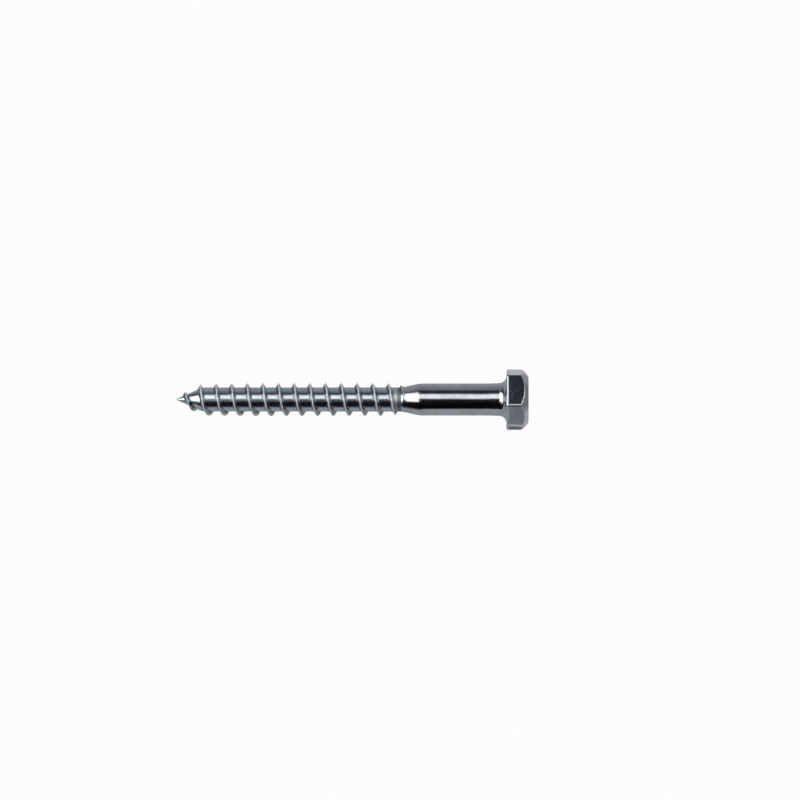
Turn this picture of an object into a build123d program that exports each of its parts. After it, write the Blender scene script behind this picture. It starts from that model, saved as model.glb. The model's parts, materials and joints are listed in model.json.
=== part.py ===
from build123d import *
from math import atan2, ceil, degrees, radians, sqrt, tan
import os

# Hexagon-head wood screw, with a coarse right-hand thread and a gimlet point, forged and rolled in one
# piece. Heights are counted along its axis from the bearing face under the head: the head is above that
# face, and the shank, neck, thread and point are below it. Sizes are in millimetres and degrees.

# Head
across_flats = 16.75       # spanner size, over two opposite flats
head_height = 6.6          # bearing face to the top of the head
top_circle = 13.9          # diameter of the flat circle that the chamfer leaves on top
chamfer_angle = 40         # between the chamfer and the top face
corner_radius = 0.35       # softened corners between the flats
edge_radius = 0.2          # softened edges round the bearing face

# Blank under the head
screw_length = 100         # bearing face to the end of the tip
shank_dia = 9.65
shank_length = 26.2        # bearing face to where the neck starts
flare_dia = 10             # the shank swells to this just under the head
flare_length = 5
head_fillet = 1.9          # reach of the hollow curve from the flare into the bearing face
neck_dia = 7.7             # small end of the tapered neck
neck_length = 4.3
neck_blend = 12            # radius between the neck and the shank
core_dia = 7.3             # between the turns of the thread

# Gimlet point
point_angle = 48           # full angle of the cone
point_blend = 4            # radius between the cone and the core
tip_dia = 0.2              # the blunt end of the cone

# Thread
thread_dia = 10            # over the crests
pitch = 4.76
flank_angle = 60           # between the two flanks of the ridge
lead_height = 1.15         # the ridge is lower where it climbs the point
start_gap = 1.2            # tip to the start of the ridge
rise_turns = 0.35          # turns in which the ridge rises out of the point
growth_turns = 6           # turns after which it has its full height
fade_turns = 1.75          # turns in which it sinks away at the neck
run_on = 1.9               # how far it runs onto the neck
foot_depth = 0.4           # how deep its foot is sunk in the core
lap_sections = 16          # sections in each lap that is lofted at a time

# Worked out from the sizes above
apothem = across_flats / 2
core_radius = core_dia / 2
full_height = (thread_dia - core_dia) / 2
cone_slope = tan(radians(point_angle / 2))
neck_end = shank_length + neck_length
thread_turns = (screw_length - start_gap - neck_end + run_on) / pitch
laps = ceil(thread_turns)


def share(value, start, end):
    """How far value is on its way from start to end, from 0 to 1."""
    return min(max((value - start) / (end - start), 0), 1)


def tip_distance(turn):
    """Distance of the ridge from the tip, after so many turns of the thread."""
    return start_gap + pitch * turn


def cone_radius(turn):
    """Radius of the point or the core under the ridge."""
    return min(tip_dia / 2 + cone_slope * tip_distance(turn), core_radius)


def crest_radius(turn):
    """Radius of the ridge's crest, which rises, grows and fades along the thread."""
    rise = lead_height * share(turn, 0, rise_turns)
    growth = (full_height - lead_height) * share(turn, rise_turns, growth_turns)
    fade = sqrt(share(turn, thread_turns, thread_turns - fade_turns))
    return cone_radius(turn) + (rise + growth) * fade


# The ridge starts straight below the axis, so each whole turn is lowest there. The screw lies on the edge
# under its head and on the first turn that meets the floor as the point tips down.
rest_angle = min(
    degrees(atan2(apothem - crest_radius(turn), screw_length - tip_distance(turn)))
    for turn in range(1, int(thread_turns - fade_turns))
)
across = Plane.YZ.rotated((0, -rest_angle, 0))
lengthwise = Plane(across.origin, x_dir=across.x_dir, z_dir=-across.y_dir)
axis = Axis(across.origin, across.z_dir)


def ridge_plane(turn):
    """Plane through the axis that turns with the thread: x points outwards, y towards the head."""
    height = tip_distance(turn) - screw_length
    return Plane(across.location * Pos(0, 0, height) * Rot(0, 0, 360 * turn - 90) * Rot(90, 0, 0))


# Thread: a V-shaped ridge, lofted lap by lap through sections that stand on the core
with BuildPart() as thread:
    for lap in range(laps):
        for section in range(lap_sections + 1):
            turn = thread_turns * (lap + section / lap_sections) / laps
            crest = crest_radius(turn)
            foot = cone_radius(turn) - foot_depth
            half_foot = (crest - foot) * tan(radians(flank_angle / 2))
            with BuildSketch(ridge_plane(turn)):
                with BuildLine():
                    Polyline((foot, -half_foot), (crest, 0), (foot, half_foot), close=True)
                make_face()
        loft()

with BuildPart() as lag_screw:
    # Head: a hexagonal prism with softened corners, cut by the cone of its chamfer
    with BuildSketch(across):
        RegularPolygon(apothem, 6, major_radius=False)
    extrude(amount=head_height)
    fillet(lag_screw.edges().filter_by(axis), corner_radius)
    with BuildSketch(lengthwise):
        chamfer_depth = (across_flats - top_circle / 2) * tan(radians(chamfer_angle))
        with BuildLine():
            Polyline((0, -head_height), (0, head_height), (top_circle / 2, head_height),
                     (across_flats, head_height - chamfer_depth), (across_flats, -head_height), close=True)
        make_face()
    revolve(axis=axis, mode=Mode.INTERSECT)
    fillet(lag_screw.faces().sort_by(axis)[0].edges(), edge_radius)

    # Blank: fillet under the head, shank, neck, core and point, turned from one profile
    with BuildSketch(lengthwise) as blank:
        cone_end = (core_radius, (core_radius - tip_dia / 2) / cone_slope - screw_length)
        shank_end = (shank_dia / 2, -shank_length)
        flare_end = (flare_dia / 2, -head_fillet)
        fillet_radius = flare_dia / 2 + head_fillet
        with BuildLine():
            Polyline((0, head_height / 2), (0, -screw_length), (tip_dia / 2, -screw_length), cone_end,
                     (core_radius, -neck_end), (neck_dia / 2, -neck_end), shank_end,
                     (shank_dia / 2, -flare_length), flare_end)
            Bezier(flare_end, (flare_dia / 2, 0), (fillet_radius, 0))
            Polyline((fillet_radius, 0), (fillet_radius, head_height / 2), (0, head_height / 2))
        make_face()
        fillet(blank.vertices().sort_by_distance(cone_end)[0], point_blend)
        fillet(blank.vertices().sort_by_distance(shank_end)[0], neck_blend)
    revolve(axis=axis)
    add(thread.part)
lag_screw.part.label = "lag_screw"

os.makedirs("parts", exist_ok=True)
export_step(lag_screw.part, "parts/lag_screw.step")
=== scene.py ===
import json
from math import atan2, cos, pi, radians, sin, tan

import bmesh
import bpy
import numpy as np
from mathutils import Matrix, Vector


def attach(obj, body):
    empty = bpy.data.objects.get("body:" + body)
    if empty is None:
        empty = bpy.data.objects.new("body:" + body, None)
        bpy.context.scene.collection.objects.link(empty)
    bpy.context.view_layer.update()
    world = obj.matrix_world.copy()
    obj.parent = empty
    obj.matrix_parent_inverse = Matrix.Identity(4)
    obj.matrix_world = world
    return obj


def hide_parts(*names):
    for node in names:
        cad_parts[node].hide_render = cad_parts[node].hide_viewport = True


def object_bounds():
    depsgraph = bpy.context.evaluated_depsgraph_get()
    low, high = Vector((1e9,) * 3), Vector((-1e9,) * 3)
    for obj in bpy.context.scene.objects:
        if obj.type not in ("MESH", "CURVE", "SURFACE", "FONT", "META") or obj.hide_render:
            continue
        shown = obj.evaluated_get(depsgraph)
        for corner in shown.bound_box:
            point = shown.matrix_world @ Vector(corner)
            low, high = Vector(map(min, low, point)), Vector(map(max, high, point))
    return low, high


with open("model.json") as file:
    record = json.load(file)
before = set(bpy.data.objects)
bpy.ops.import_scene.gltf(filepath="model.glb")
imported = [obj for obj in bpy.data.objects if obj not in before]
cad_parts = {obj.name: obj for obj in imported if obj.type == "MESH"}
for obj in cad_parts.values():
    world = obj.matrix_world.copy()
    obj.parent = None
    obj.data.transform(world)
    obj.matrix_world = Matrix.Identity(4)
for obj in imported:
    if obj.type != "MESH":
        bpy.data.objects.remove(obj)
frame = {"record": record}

cad_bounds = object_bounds()

# Sizes of the screw, in millimetres and degrees. Distances along it are counted from its tip.
ACROSS_FLATS = 16.75
HEAD_HEIGHT = 6.6
TOP_CIRCLE = 13.9
CHAMFER_ANGLE = 40
CORNER_RADIUS = 0.65            # between two flats
BEARING_EDGE_RADIUS = 0.6       # rounder where the head was forged
CHAMFER_EDGE_RADIUS = 0.25
TOP_EDGE_RADIUS = 0.35
SCREW_LENGTH = 100              # tip to bearing face
SHANK_DIA = 9.65
SHANK_LENGTH = 26.2
FLARE_DIA = 10
FLARE_LENGTH = 5
FLARE_BLEND = 30
HEAD_FILLET = 2.3
NECK_DIA = 7.7
NECK_LENGTH = 4.3
NECK_BLEND = 12                 # between the neck and the shank
NECK_HOLLOW = 2                 # between the land and the neck
LAND_LENGTH = 0.9               # short straight part between the thread and the neck
STEP_LENGTH = 0.4               # slope up to the land
STEP_ROUNDING = 0.1
CORE_DIA = 7.3
POINT_ANGLE = 48
POINT_BLEND = 4
TIP_DIA = 0.2
THREAD_DIA = 10
PITCH = 4.76
FLANK_ANGLE = 60
CREST_WIDTH = 0.12
CREST_ROUNDING = 0.22
ROOT_ROUNDING = 0.02, 0.1       # where the ridge starts, and where it stands high enough
ROOT_FULL_HEIGHT = 0.6
LEAD_HEIGHT = 1.15
START_GAP = 1.2
RISE_TURNS = 0.35
GROWTH_TURNS = 6
FADE_TURNS = 1.75
RUN_ON = 1.9
CROWDED_FROM = 0.5              # turns after the fade starts
CROWDED_TURNS = 0.7             # the last turns lie closer together
CROWDED_BY = 0.85

# In front, the crest of the first turns is pressed over towards the head
FOLD_WIDTH = 0.5
FOLD_FLANK = 18                 # lean of its flank there, from straight out
FOLD_TURNS = 7, 5               # fades between these turns
FOLD_FROM, FOLD_TO = (262, 276), (350, 325)     # degrees round the axis, from straight below

# Places on the thread: a pale painted highlight on the rubbed crest, painted shade on the flanks, and a matt, darker
# end
CREST_HIGHLIGHT_WIDTH = 0.46               # pale painted highlight along the crest, whose zinc is also rubbed dull
CREST_HIGHLIGHT_EDGE = 0.08                # how softly it ends
CREST_HIGHLIGHT_HEIGHT = 0.4, 0.8          # where the ridge is high enough to be rubbed and to carry the painted highlight
DARK_EDGE = -0.05, 0.1          # the flanks turn to painted shade beside the pale line
DARK_PAST_FOOT = 0.25           # and end in the groove
DARK_HEIGHT = 0.1, 0.3
HEAD_SIDE_DARK = 0.6            # the painted shade is lighter on the flank on the head's side
FOLD_CLEAR = 0.9                # how much of the painted shade the fold loses on its other side
RUN_OUT = (-34.2, -33.4), (-31.55, -31.35)      # where the thread's end is left matt, from the bearing face
DARK_RING = (-32.8, -32.3), (-31.55, -31.35)    # and darker

# Worked out from them
CORE_RADIUS = CORE_DIA / 2
CONE_SLOPE = tan(radians(POINT_ANGLE / 2))
NECK_START = SCREW_LENGTH - SHANK_LENGTH - NECK_LENGTH
LAND_START = NECK_START - LAND_LENGTH
THREAD_TURNS = (NECK_START - START_GAP + RUN_ON) / PITCH

# How the skin is laid out
PLAIN_TIP = 0.3                 # the tip's rows are plain rings up to here
SEAM = 0.1                      # the thread's rows end this far before the land
PAST_SEAM = 0.09                # and the first ring behind them lies this far before it
RIDGE_REACH = 1.5               # the ridge may run this far onto the neck
HEAD_FINISH_GAP = 0.02          # the head's finish starts this far before the bearing face
NEAR_END = 0.03                 # part of a long stretch
MM = 0.001
MERGE_WITHIN = 1e-7             # metres: rows held in one place become one ring

# How the screw lies: its axis runs from the bearing face through the top of the head
mounts = {mount["name"]: mount for mount in frame["record"]["mounts"]}
AXIS = Vector(mounts["head_top"]["pos_m"]).normalized()
FAR_SIDE = Vector((0, 1, 0))
UPWARD = AXIS.cross(FAR_SIDE)
DIP = atan2(AXIS.z, AXIS.x)


# ---- Outline of the turned and forged parts

def evenly(steps):
    """Places along a straight stretch. Long ones get a place close to each end, to keep them straight."""
    if steps < 4:
        return np.arange(steps) / steps
    return np.concatenate([[0, NEAR_END], np.linspace(0, 1, steps - 1)[1:-1], [1 - NEAR_END]])


def rounded_run(corners, radii, arc_steps, straight_steps):
    """Samples along straight lines joined by arcs. A corner is (distance, radius) for each column."""
    shape = np.broadcast_shapes(*(np.shape(part) for corner in corners for part in corner))
    corners = [np.stack([np.broadcast_to(part, shape) for part in corner], -1).astype(float) for corner in corners]
    samples = []
    start = corners[0]
    for i in range(1, len(corners)):
        way = corners[i] - corners[i - 1]
        way = way / np.linalg.norm(way, axis=-1, keepdims=True)
        end = corners[i]
        if i < len(corners) - 1:
            onward = corners[i + 1] - corners[i]
            onward = onward / np.linalg.norm(onward, axis=-1, keepdims=True)
            bend = np.arccos(np.clip((way * onward).sum(-1, keepdims=True), -1, 1))
            end = corners[i] - way * radii[i - 1] * np.tan(bend / 2)
        for part in evenly(straight_steps[i - 1]):
            samples.append(start + (end - start) * part)
        if i < len(corners) - 1:
            inward = (onward - way * np.cos(bend)) / np.sin(bend)
            for step in range(arc_steps[i - 1]):
                turned = bend * step / arc_steps[i - 1]
                samples.append(end + radii[i - 1] * (way * np.sin(turned) + inward * (1 - np.cos(turned))))
            start = end + radii[i - 1] * (way * np.sin(bend) + inward * (1 - np.cos(bend)))
    samples.append(corners[-1])
    return np.stack(samples)


def point_and_core():
    """Outline from the end of the tip to the end of the core."""
    cone_end = (CORE_RADIUS - TIP_DIA / 2) / CONE_SLOPE
    corners = [(0, 0), (0, TIP_DIA / 2), (cone_end, CORE_RADIUS), (LAND_START, CORE_RADIUS)]
    rows_in_arcs = [5, 48]
    rows_between = [2, 60, 2]
    return rounded_run(corners, [TIP_DIA / 3, POINT_BLEND], rows_in_arcs, rows_between)


def neck_to_head_top(hexagon):
    """Outline from the step at the end of the core to the middle of the head's top."""
    chamfer_drop = (hexagon - TOP_CIRCLE / 2) * tan(radians(CHAMFER_ANGLE))
    head_end = SCREW_LENGTH + HEAD_HEIGHT
    corners = [
        (LAND_START - PAST_SEAM, CORE_RADIUS),
        (LAND_START, CORE_RADIUS),
        (LAND_START + STEP_LENGTH, NECK_DIA / 2),
        (NECK_START, NECK_DIA / 2),
        (NECK_START + NECK_LENGTH, SHANK_DIA / 2),
        (SCREW_LENGTH - FLARE_LENGTH, SHANK_DIA / 2),
        (SCREW_LENGTH, FLARE_DIA / 2),
        (SCREW_LENGTH, hexagon),
        (head_end - chamfer_drop, hexagon),
        (head_end, TOP_CIRCLE / 2),
        (head_end, 0 * hexagon),
    ]
    radii = [STEP_ROUNDING, STEP_ROUNDING, NECK_HOLLOW, NECK_BLEND, FLARE_BLEND, HEAD_FILLET,
             BEARING_EDGE_RADIUS, CHAMFER_EDGE_RADIUS, TOP_EDGE_RADIUS]
    rows_in_arcs = [2, 2, 6, 12, 4, 14, 6, 6, 5]
    rows_between = [1, 2, 12, 12, 12, 8, 8, 8, 8, 6]
    return rounded_run(corners, radii, rows_in_arcs, rows_between)


# ---- Thread

def share(value, start, end):
    """How far value is on its way from start to end, from 0 to 1."""
    return np.clip((value - start) / (end - start), 0, 1)


def ridge_height(turn):
    """Height of the ridge: it rises out of the point, grows along the thread and sinks away at the neck."""
    full = (THREAD_DIA - CORE_DIA) / 2
    rise = LEAD_HEIGHT * share(turn, 0, RISE_TURNS)
    growth = (full - LEAD_HEIGHT) * share(turn, RISE_TURNS, GROWTH_TURNS)
    return (rise + growth) * np.sqrt(share(turn, THREAD_TURNS, THREAD_TURNS - FADE_TURNS))


def ridge_distance(turn):
    """Distance of the middle of the ridge from the tip. Its last turn crowds up against the neck."""
    start = THREAD_TURNS - FADE_TURNS + CROWDED_FROM
    crowding = share(turn, start, start + CROWDED_TURNS)
    return START_GAP + PITCH * turn - CROWDED_BY * crowding ** 2 * (3 - 2 * crowding)


def soft_max(one, other, reach):
    """The larger of two, with the corner between them rounded."""
    return np.maximum(one, other) + np.maximum(reach - np.abs(one - other), 0) ** 2 / (4 * reach)


def fold(turn, turn_part):
    """How far the crest is pressed over, from 0 to 1."""
    around = 360 * turn_part
    return share(around, *FOLD_FROM) * share(around, *FOLD_TO) * share(turn, *FOLD_TURNS)


def nearest_turn(distance, turn_part):
    """The turn of the ridge that each place is nearest to. turn_part is the place's angle as a part of a turn."""
    return np.round((distance - START_GAP) / PITCH - turn_part) + turn_part


def with_thread(distance, blank, turn_part):
    """Radius of the blank with the ridge that stands on it, rounded at its crest and roots."""
    turn = nearest_turn(distance, turn_part)
    height = ridge_height(turn)
    middle = ridge_distance(turn)
    crest = np.minimum(TIP_DIA / 2 + CONE_SLOPE * middle, CORE_RADIUS) + height
    folded = np.where(distance > middle, fold(turn, turn_part), 0)
    off_crest = np.abs(distance - middle) - CREST_WIDTH / 2 - FOLD_WIDTH * folded
    lean = FLANK_ANGLE / 2 + (FOLD_FLANK - FLANK_ANGLE / 2) * folded
    flank = crest - off_crest / np.tan(np.radians(lean))
    ridge = -soft_max(-crest, -flank, CREST_ROUNDING)
    at_start, at_height = ROOT_ROUNDING
    rounding = at_start + (at_height - at_start) * share(height, 0, ROOT_FULL_HEIGHT)
    return np.where(height > 0, soft_max(blank, ridge, rounding), blank)


def ridge_highlight_and_shade(distance, turn_part):
    """Where the ridge's top carries the pale painted highlight, with its zinc rubbed dull, and where its flanks
    carry painted shade: both 0 to 1.
    """
    turn = nearest_turn(distance, turn_part)
    height = ridge_height(turn)
    middle = ridge_distance(turn)
    folded = fold(turn, turn_part)
    off_crest = np.abs(distance - middle) - np.where(distance > middle, FOLD_WIDTH * folded, 0)
    off_crest = np.maximum(off_crest, 0)
    highlight_half_width = CREST_HIGHLIGHT_WIDTH / 2
    foot = CREST_WIDTH / 2 + height * tan(radians(FLANK_ANGLE / 2))
    # pale painted highlight along the crest, where the zinc is also rubbed dull
    worn_and_highlit = share(height, *CREST_HIGHLIGHT_HEIGHT) * share(off_crest, highlight_half_width + CREST_HIGHLIGHT_EDGE, highlight_half_width - CREST_HIGHLIGHT_EDGE)
    # painted shade on the flanks, between the pale line and the groove
    dark = share(off_crest, highlight_half_width + DARK_EDGE[0], highlight_half_width + DARK_EDGE[1])
    dark = dark * share(off_crest, foot + DARK_PAST_FOOT, foot) * share(height, *DARK_HEIGHT)
    # painted shade: less on the head's side, and cleared by the fold
    point_side = 1 - FOLD_CLEAR * folded
    head_side = HEAD_SIDE_DARK + (1 - HEAD_SIDE_DARK) * folded
    return worn_and_highlit, dark * np.where(distance < middle, point_side, head_side)


# ---- Skin of the whole screw

def columns():
    """Angles round the axis, from straight below, closer together at the corners of the head."""
    steps = [0.4, 0.8, 1.15, 1.5, 2.3, 4, 7, 10.5, 14, 18, 22, 26]
    offsets = [-step for step in reversed(steps)] + [0] + steps + [30]
    return np.sort(np.radians([60 * corner + 30 + offset for corner in range(6) for offset in offsets]))


def hexagon_outline(angles):
    """Distance from the axis to the side of the head, with its corners rounded."""
    off_corner = np.abs(np.mod(angles, pi / 3) - pi / 6)
    flat = ACROSS_FLATS / 2 / np.cos(pi / 6 - off_corner)
    centre = (ACROSS_FLATS / 2 - CORNER_RADIUS) / cos(pi / 6)
    reach = np.sqrt(np.maximum(CORNER_RADIUS ** 2 - (centre * np.sin(off_corner)) ** 2, 0))
    arc = centre * np.cos(off_corner) + reach
    touch = atan2(CORNER_RADIUS * sin(pi / 6), centre + CORNER_RADIUS * cos(pi / 6))
    return np.where(off_corner < touch, arc, flat)


def thread_rows(angles):
    """Distances of rows that follow the thread, held between the tip and the neck."""
    crest_to_root = [0.06, 0.12, 0.19, 0.28, 0.42, 0.56, 0.68, 0.78, 0.88, 0.98, 1.12, 1.35, 1.7, 2.05]
    offsets = [-PITCH / 2] + [-step for step in reversed(crest_to_root)] + [0] + crest_to_root
    rows = [START_GAP + PITCH * (turn + angles / (2 * pi)) + offset
            for turn in range(-2, int(THREAD_TURNS) + 2) for offset in offsets]
    return np.clip(rows, PLAIN_TIP, LAND_START - SEAM), len(offsets)


def screw_rows(angles):
    """Distance along the axis and radius of every row of the skin, from the tip to the top of the head."""
    front = point_and_core()
    blank_distance, blank_radius = front[:, 0], front[:, 1]
    tip = front[blank_distance < PLAIN_TIP]
    tip_rows = np.broadcast_to(tip[:, None, :], (len(tip), len(angles), 2))
    wound, rows_per_turn = thread_rows(angles)
    wound_rows = np.stack([wound, np.interp(wound, blank_distance, blank_radius)], -1)
    back = neck_to_head_top(hexagon_outline(angles))
    rows = np.concatenate([tip_rows, wound_rows, np.broadcast_to(back, (len(back), len(angles), 2))])
    distance, blank = rows[..., 0], rows[..., 1]
    threaded = with_thread(distance, blank, angles / (2 * pi))
    radius = np.where(distance < NECK_START + RIDGE_REACH, threaded, blank)
    return distance, radius, rows_per_turn, slice(len(tip), len(tip) + len(wound))


def zone(distance):
    """Which finish a face has: 0 on the thread and point, 1 on the neck and shank, 2 on the head."""
    if distance < NECK_START:
        return 0
    return 1 if distance < SCREW_LENGTH - HEAD_FINISH_GAP else 2


def build_screw():
    """One closed skin over the whole screw, in metres, where the solid lies."""
    angles = columns()
    distance, radius, rows_per_turn, wound = screw_rows(angles)
    along = np.array(AXIS) * (distance[..., None] - SCREW_LENGTH)
    outward = -np.cos(angles)[:, None] * np.array(UPWARD) + np.sin(angles)[:, None] * np.array(FAR_SIDE)
    points = (along + radius[..., None] * outward) * MM

    # A row that follows the thread meets itself one turn further on, and a plain ring meets itself
    row_count, column_count = distance.shape
    met_row = np.arange(row_count)
    met_row[wound] = np.minimum(met_row[wound] + rows_per_turn, wound.stop - 1)
    index = np.arange(row_count * column_count).reshape(row_count, column_count)
    around = np.concatenate([index[:, 1:], index[met_row, :1]], axis=1)
    faces = np.stack([index[:-1], around[:-1], around[1:], index[1:]], -1).reshape(-1, 4)

    mesh = bpy.data.meshes.new("lag_screw_skin")
    mesh.from_pydata(points.reshape(-1, 3).tolist(), [], faces.tolist())
    # per point: the crest's painted highlight on rubbed zinc, and the flanks' painted shade
    for name, values in zip(("worn_crest_and_painted_highlight", "painted_flank_shade"), ridge_highlight_and_shade(distance, angles / (2 * pi))):
        values = np.where(distance < NECK_START, values, 0)
        mesh.attributes.new(name, "FLOAT", "POINT").data.foreach_set("value", values.ravel())
    skin = bmesh.new()
    skin.from_mesh(mesh)
    bmesh.ops.remove_doubles(skin, verts=skin.verts, dist=MERGE_WITHIN)
    bmesh.ops.dissolve_degenerate(skin, edges=skin.edges, dist=MERGE_WITHIN)
    bmesh.ops.recalc_face_normals(skin, faces=skin.faces)
    for face in skin.faces:
        face.smooth = True
        middle = Vector(face.calc_center_median()) / MM
        face.material_index = zone(middle.dot(AXIS) + SCREW_LENGTH)
    skin.to_mesh(mesh)
    skin.free()
    screw = bpy.data.objects.new("lag_screw_skin", mesh)
    bpy.context.scene.collection.objects.link(screw)
    flat_faces = screw.modifiers.new("flat_faces", "WEIGHTED_NORMAL")
    flat_faces.weight = 80
    return screw


# ---- Finish: node groups and materials

ZINC = (0.74, 0.765, 0.80, 1)
THREAD_ZINC = (0.755, 0.85, 0.875, 1)
CLOUD_SHADE = 0.86              # the darker clouds in the zinc
# pale painted highlight along the crest
PALE_CREST_HIGHLIGHT = (0.98, 1.0, 1.0, 1)
WORN_HIGHLIGHT_METAL = 0.4                # how metallic the rubbed crest with its painted highlight still is
# painted shade on the thread's flanks
FLANK_SHADE_GREY, FLANK_SHADE_SHARE = (0.15, 0.16, 0.19, 1), 0.9
RING_GREY, RING_SHARE = (0.16, 0.15, 0.14, 1), 0.7

# What each adds to the roughness
SPOTS_ROUGH = 0.08
STREAKS_ROUGH = 0.03
WORN_ROUGH = 0.25
RUN_OUT_ROUGH = 0.3

FINISHES = [
    # name, tint, gloss, height of the streaks in metres, their stretch, height of the dents in metres, threaded
    ("zinc_on_rolled_thread", THREAD_ZINC, 0.19, 1.2e-6, 0.5, 2e-6, True),
    ("zinc_on_plain_shank", ZINC, 0.12, 0.8e-6, 30.0, 2e-6, False),
    ("zinc_on_forged_head", ZINC, 0.03, 0.3e-6, 4.0, 2e-6, False),
]


class Nodes:
    """Short calls for placing and joining shader nodes."""

    def __init__(self, tree):
        self.tree = tree

    def add(self, kind, settings=None, **inputs):
        node = self.tree.nodes.new(kind)
        for name, value in (settings or {}).items():
            setattr(node, name, value)
        for name, value in inputs.items():
            self.put(node.inputs[name.replace("_", " ")], value)
        return node

    def put(self, socket, value):
        if isinstance(value, bpy.types.NodeSocket):
            self.tree.links.new(value, socket)
        else:
            socket.default_value = value

    def math(self, operation, *values):
        node = self.tree.nodes.new("ShaderNodeMath")
        node.operation = operation
        for socket, value in zip(node.inputs, values):
            self.put(socket, value)
        return node.outputs[0]

    def step(self, value, low, high):
        """0 below low, 1 above high, smooth between them."""
        node = self.add("ShaderNodeMapRange", {"interpolation_type": "SMOOTHSTEP"},
                        Value=value, From_Min=low, From_Max=high)
        return node.outputs[0]

    def between(self, value, start, end):
        """1 between start and end, 0 outside them. Each is the two values that it fades between."""
        return self.math("SUBTRACT", self.step(value, *start), self.step(value, *end))

    def inside(self, strength, *spans):
        """Strength where each value is in its span, and 0 elsewhere. A span is a value, its start and its end."""
        for value, start, end in spans:
            strength = self.math("MULTIPLY", self.between(value, start, end), strength)
        return strength

    def mix(self, amount, one, other):
        """The first colour, turned into the other by an amount from 0 to 1."""
        node = self.tree.nodes.new("ShaderNodeMix")
        node.data_type = "RGBA"
        for name, value in (("Factor_Float", amount), ("A_Color", one), ("B_Color", other)):
            self.put(next(s for s in node.inputs if s.identifier == name), value)
        return next(s for s in node.outputs if s.identifier == "Result_Color")

    def noise(self, vector, scale, detail, roughness):
        return self.add("ShaderNodeTexNoise", {"noise_dimensions": "3D"}, Vector=vector, Scale=scale,
                        Detail=detail, Roughness=roughness).outputs["Fac"]


def new_group(name, inputs, outputs):
    """A shader group with its sockets. inputs are name, kind and value; outputs are name and kind."""
    group = bpy.data.node_groups.new(name, "ShaderNodeTree")
    for socket_name, kind, value in inputs:
        socket = group.interface.new_socket(socket_name, in_out="INPUT", socket_type="NodeSocket" + kind)
        socket.default_value = value
    for socket_name, kind in outputs:
        group.interface.new_socket(socket_name, in_out="OUTPUT", socket_type="NodeSocket" + kind)
    given = group.nodes.new("NodeGroupInput").outputs
    result = group.nodes.new("NodeGroupOutput").inputs
    return group, Nodes(group), given, result


def screw_place_group():
    """Where a point is on the screw: millimetres from the bearing face, in the screw's own directions."""
    group, nodes, _, result = new_group("screw_place", [], [("Place", "Vector")])
    place = nodes.add("ShaderNodeTexCoord").outputs["Object"]
    turned = nodes.add("ShaderNodeVectorRotate", {"rotation_type": "Y_AXIS"}, Vector=place, Angle=DIP)
    scaled = nodes.add("ShaderNodeVectorMath", {"operation": "SCALE"}, Vector=turned.outputs[0], Scale=1 / MM)
    nodes.put(result["Place"], scaled.outputs[0])
    return group


def streaks_group():
    """Fine lines left by rolling or drawing. Stretch above 1 draws them out along the screw, below 1 round it."""
    group, nodes, given, result = new_group(
        "streaks", [("Place", "Vector", (0, 0, 0)), ("Fineness", "Float", 4.0), ("Stretch", "Float", 20.0)],
        [("Height", "Float")])
    parts = nodes.add("ShaderNodeSeparateXYZ", Vector=given["Place"]).outputs
    shortened = nodes.math("DIVIDE", parts["X"], given["Stretch"])
    drawn = nodes.add("ShaderNodeCombineXYZ", X=shortened, Y=parts["Y"], Z=parts["Z"])
    nodes.put(result["Height"], nodes.noise(drawn.outputs[0], given["Fineness"], detail=3.0, roughness=0.6))
    return group


def plating_group():
    """Slow changes of colour and gloss in the zinc, with small dull spots."""
    group, nodes, given, result = new_group(
        "plating", [("Place", "Vector", (0, 0, 0)), ("Cloud Scale", "Float", 0.25), ("Spot Scale", "Float", 2.2)],
        [("Clouds", "Float"), ("Dull Spots", "Float")])
    clouds = nodes.noise(given["Place"], given["Cloud Scale"], detail=4.0, roughness=0.6)
    nodes.put(result["Clouds"], nodes.step(clouds, low=0.35, high=0.65))
    spots = nodes.noise(given["Place"], given["Spot Scale"], detail=5.0, roughness=0.65)
    nodes.put(result["Dull Spots"], nodes.step(spots, low=0.6, high=0.72))
    return group


def dents_group():
    """Soft, shallow dents from forging and handling."""
    group, nodes, given, result = new_group(
        "dents", [("Place", "Vector", (0, 0, 0)), ("Dent Scale", "Float", 0.4)], [("Height", "Float")])
    nodes.put(result["Height"], nodes.noise(given["Place"], given["Dent Scale"], detail=1.0, roughness=0.5))
    return group


def thread_wear_and_painted_light(nodes, place, colour, rough):
    """Colour, roughness and metallic of the zinc on the thread. It has a pale painted highlight along the crest,
    where it is also rubbed dull, painted shade on the flanks, and is matt with a dark ring where the thread ends."""
    wear_and_highlight = nodes.add("ShaderNodeAttribute", {"attribute_name": "worn_crest_and_painted_highlight"}).outputs["Fac"]
    flank = nodes.add("ShaderNodeAttribute", {"attribute_name": "painted_flank_shade"}).outputs["Fac"]
    along = nodes.add("ShaderNodeSeparateXYZ", Vector=place).outputs["X"]
    ring = nodes.between(along, *DARK_RING)
    run_out = nodes.between(along, *RUN_OUT)
    # painted shade on the flanks
    colour = nodes.mix(nodes.math("MULTIPLY", flank, FLANK_SHADE_SHARE), colour, FLANK_SHADE_GREY)
    # pale painted highlight along the crest, on rubbed zinc
    colour = nodes.mix(wear_and_highlight, colour, PALE_CREST_HIGHLIGHT)
    colour = nodes.mix(nodes.math("MULTIPLY", ring, RING_SHARE), colour, RING_GREY)
    rough = nodes.math("ADD", rough, nodes.math("MULTIPLY", wear_and_highlight, WORN_ROUGH))
    rough = nodes.math("ADD", rough, nodes.math("MULTIPLY", run_out, RUN_OUT_ROUGH))
    metallic = nodes.math("SUBTRACT", 1.0, nodes.math("MULTIPLY", wear_and_highlight, 1 - WORN_HIGHLIGHT_METAL))
    return colour, rough, metallic


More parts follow.
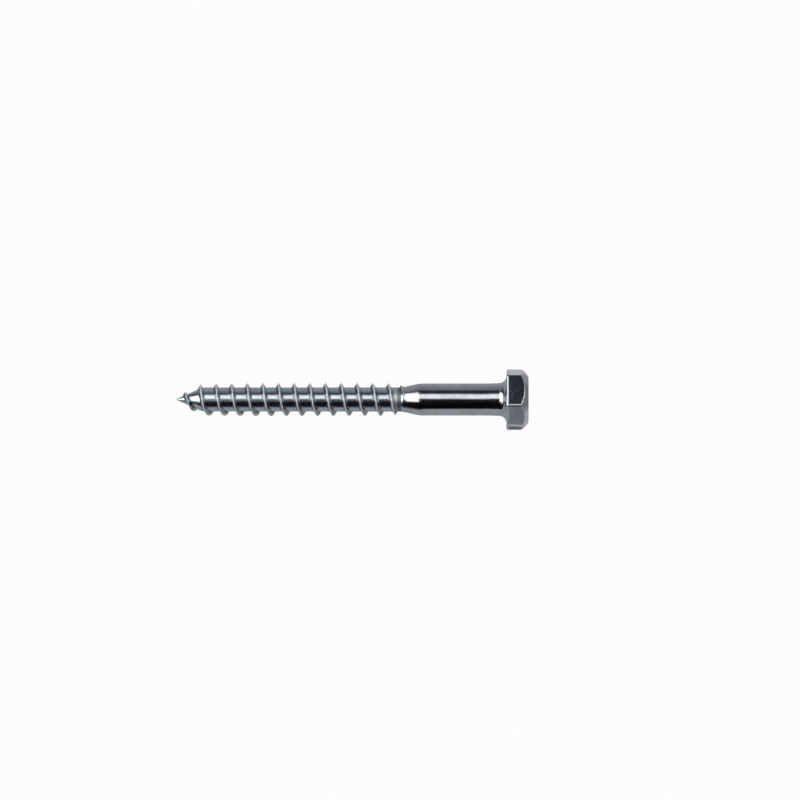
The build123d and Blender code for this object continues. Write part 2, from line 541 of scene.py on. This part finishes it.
def zinc(groups, name, tint, gloss, streak, streak_stretch, dent, threaded):
    """Bright zinc on steel. gloss is its roughness where clean, streak and dent are heights in metres."""
    material = bpy.data.materials.new(name)
    material.use_nodes = True
    tree = material.node_tree
    tree.nodes.clear()
    nodes = Nodes(tree)
    place, streaks, plating, dents = (nodes.add("ShaderNodeGroup", {"node_tree": group}) for group in groups)
    for node in (streaks, plating, dents):
        nodes.put(node.inputs["Place"], place.outputs["Place"])
    streaks.inputs["Stretch"].default_value = streak_stretch
    darker = tuple(CLOUD_SHADE * part for part in tint[:3]) + (1,)
    colour = nodes.mix(plating.outputs["Clouds"], darker, tint)
    rough = nodes.math("ADD", gloss, nodes.math("MULTIPLY", plating.outputs["Dull Spots"], SPOTS_ROUGH))
    rough = nodes.math("ADD", rough, nodes.math("MULTIPLY", streaks.outputs["Height"], STREAKS_ROUGH))
    metallic = 1.0
    if threaded:
        colour, rough, metallic = thread_wear_and_painted_light(nodes, place.outputs["Place"], colour, rough)
    height = nodes.math("ADD", nodes.math("MULTIPLY", streaks.outputs["Height"], streak),
                        nodes.math("MULTIPLY", dents.outputs["Height"], dent))
    bump = nodes.add("ShaderNodeBump", Height=height, Distance=1.0)
    surface = nodes.add("ShaderNodeBsdfPrincipled", Base_Color=colour, Metallic=metallic, Roughness=rough,
                        Normal=bump.outputs[0])
    nodes.add("ShaderNodeOutputMaterial", Surface=surface.outputs[0])
    return material


# ---- Floor, light and camera

PLAIN_WHITE = (0.975, 0.975, 0.975, 1)

# What the screw mirrors of the floor, in millimetres: forward is towards the front, x towards the head.
# Each edge fades between two places.
FLOOR_GREY = (0.325, 0.335, 0.36, 1)
FLOOR_PATCHES = [
    # forward from, forward to, x from, x to, shade
    ((-3500, -3000), (3000, 3500), (-3500, -3000), (-38, -28), (0.30, 0.325, 0.337)),   # round the thread
    ((20, 70), (3000, 3500), (-3500, -3000), (-38, -28), (0.04, 0.042, 0.046)),         # dark in front of the thread
    ((40, 46), (56.4, 57), (-1, 0.3), (6, 10), (0.13, 0.135, 0.148)),                   # dull in front of the head
    ((56.4, 57), (58.8, 59.4), (-1, 0.3), (6, 10), (0.62, 0.63, 0.65)),                 # thin light edge
    ((58.8, 59.4), (3000, 3500), (-3, 2), (14, 22), (0.19, 0.197, 0.212)),              # beyond it
    ((3, 6), (25, 40), (5, 8), (20, 50), (0.44, 0.45, 0.47)),                           # lighter past the head
    ((-200, -100), (100, 200), (30, 80), (3000, 3500), (0.20, 0.205, 0.215)),           # far past the head
    ((-60, -30), (-10, -5), (-3, 1), (10, 16), (0.50, 0.51, 0.53)),                     # light behind the head
]
FLOOR_HALF = 4                  # half its width, in metres
FLOOR_GAP = 0.02                # below the screw, so that the two don't touch

# Soft panels of the studio, in degrees. Over runs from the front horizon (0) through overhead (90) to the far
# horizon (180), and across from the point's side (-90) to the head's side (90). Each edge fades between two angles.
PANELS = [
    # over from, over to, across from, across to, strength, colour
    ((72, 84), (102, 118), (-20, -16), (-3.1, -2.7), 1.08, (0.96, 1.0, 1.03)),      # long soft box overhead
    ((69, 80), (100, 109), (-3.1, -2.7), (25, 80), 1.08, (0.96, 1.0, 1.03)),        # narrower over the head
    ((46, 62), (114, 136), (-68, -52), (-20, -13), 1.50, (0.98, 1.0, 1.0)),         # brighter end of it
    ((22, 46), (108, 142), (-94, -70), (-52, -34), 1.10, (0.98, 1.0, 1.02)),        # light at the point's side
    ((104, 112), (160, 180), (42, 56), (64, 70), 0.90, (0.97, 1.0, 1.03)),          # light at the head's side
    ((50, 95), (174, 180), (60, 68), (92, 95), 4.00, (0.97, 1.0, 1.01)),            # lamp far out at the head's side
    ((127, 156), (190, 200), (-60, -25), (12, 45), 0.235, (0.97, 1.0, 1.16)),       # grey wall on the far side
    ((98, 108), (118, 132), (-60, -25), (12, 45), 0.025, (0.85, 0.92, 1.30)),       # faint blue between box and wall
]
BETWEEN_PANELS = (0.002, 0.002, 0.002)

# The camera looks at AIM, in millimetres, from azimuth 0 in front of the screw
CAMERA_AZIMUTH, CAMERA_ELEVATION, CAMERA_ROLL = radians(4.737), radians(70.773), radians(-3.718)
CAMERA_AIM = -31.93, -0.594, 0
CAMERA_DISTANCE = 542.66
CAMERA_LENS, CAMERA_SENSOR = 81.31, 36


def plain_to_camera(nodes, kind, colour):
    """A glow of this colour, which the camera itself sees as plain white."""
    seen = nodes.add("ShaderNodeLightPath").outputs["Is Camera Ray"]
    shown = nodes.add("ShaderNodeMixShader", Fac=seen)
    nodes.put(shown.inputs[1], nodes.add(kind, Color=colour, Strength=1.0).outputs[0])
    nodes.put(shown.inputs[2], nodes.add(kind, Color=PLAIN_WHITE, Strength=1.0).outputs[0])
    return shown.outputs[0]


def build_floor():
    """A wide floor under the screw. The camera sees it plain and pale, and the screw mirrors its greys."""
    mesh = bpy.data.meshes.new("studio_floor")
    skin = bmesh.new()
    bmesh.ops.create_grid(skin, x_segments=1, y_segments=1, size=FLOOR_HALF)
    skin.to_mesh(mesh)
    skin.free()
    floor = bpy.data.objects.new("studio_floor", mesh)
    floor.location.z = cad_bounds[0][2] - FLOOR_GAP * MM
    bpy.context.scene.collection.objects.link(floor)
    material = bpy.data.materials.new("pale_floor")
    material.use_nodes = True
    material.node_tree.nodes.clear()
    nodes = Nodes(material.node_tree)
    place = nodes.add("ShaderNodeTexCoord").outputs["Object"]
    in_millimetres = nodes.add("ShaderNodeVectorMath", {"operation": "SCALE"}, Vector=place, Scale=1 / MM)
    parts = nodes.add("ShaderNodeSeparateXYZ", Vector=in_millimetres.outputs[0]).outputs
    forward = nodes.math("MULTIPLY", parts["Y"], -1.0)
    mirrored = FLOOR_GREY
    for forward_from, forward_to, x_from, x_to, shade in FLOOR_PATCHES:
        inside = nodes.inside(1.0, (forward, forward_from, forward_to), (parts["X"], x_from, x_to))
        mirrored = nodes.mix(inside, mirrored, shade + (1,))
    surface = plain_to_camera(nodes, "ShaderNodeEmission", mirrored)
    nodes.add("ShaderNodeOutputMaterial", Surface=surface)
    mesh.materials.append(material)


def build_light():
    """A studio of soft panels round the screw, dark between them."""
    world = bpy.data.worlds.new("studio")
    world.use_nodes = True
    world.node_tree.nodes.clear()
    bpy.context.scene.world = world
    nodes = Nodes(world.node_tree)
    way = nodes.add("ShaderNodeTexCoord").outputs["Generated"]
    parts = nodes.add("ShaderNodeSeparateXYZ", Vector=way).outputs
    front = nodes.math("MULTIPLY", parts["Y"], -1.0)
    over = nodes.math("DEGREES", nodes.math("ARCTAN2", parts["Z"], front))
    across = nodes.math("DEGREES", nodes.math("ARCSINE", parts["X"]))
    light = BETWEEN_PANELS
    for over_from, over_to, across_from, across_to, strength, colour in PANELS:
        inside = nodes.inside(strength, (over, over_from, over_to), (across, across_from, across_to))
        panel = nodes.add("ShaderNodeVectorMath", {"operation": "SCALE"}, Scale=inside)
        panel.inputs[0].default_value = colour
        total = nodes.add("ShaderNodeVectorMath", {"operation": "ADD"})
        nodes.put(total.inputs[0], panel.outputs[0])
        nodes.put(total.inputs[1], light)
        light = total.outputs[0]
    surface = plain_to_camera(nodes, "ShaderNodeBackground", light)
    nodes.add("ShaderNodeOutputWorld", Surface=surface)


def build_camera():
    """Looks down on the screw from in front, from a little nearer to its head."""
    away = Vector((sin(CAMERA_AZIMUTH) * cos(CAMERA_ELEVATION), -cos(CAMERA_AZIMUTH) * cos(CAMERA_ELEVATION),
                   sin(CAMERA_ELEVATION)))
    data = bpy.data.cameras.new("camera")
    data.sensor_width = CAMERA_SENSOR
    data.lens = CAMERA_LENS
    data.clip_start = 0.01
    camera = bpy.data.objects.new("camera", data)
    camera.location = (Vector(CAMERA_AIM) + away * CAMERA_DISTANCE) * MM
    camera.rotation_mode = "QUATERNION"
    turned = Matrix.Rotation(CAMERA_ROLL, 3, "Z").to_quaternion()
    camera.rotation_quaternion = away.to_track_quat("Z", "Y") @ turned
    bpy.context.scene.collection.objects.link(camera)
    bpy.context.scene.camera = camera


screw = build_screw()
groups = screw_place_group(), streaks_group(), plating_group(), dents_group()
for finish in FINISHES:
    screw.data.materials.append(zinc(groups, *finish))
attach(screw, "root")
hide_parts("lag_screw")

build_floor()
build_light()
build_camera()
bpy.context.scene.view_settings.view_transform = "Standard"
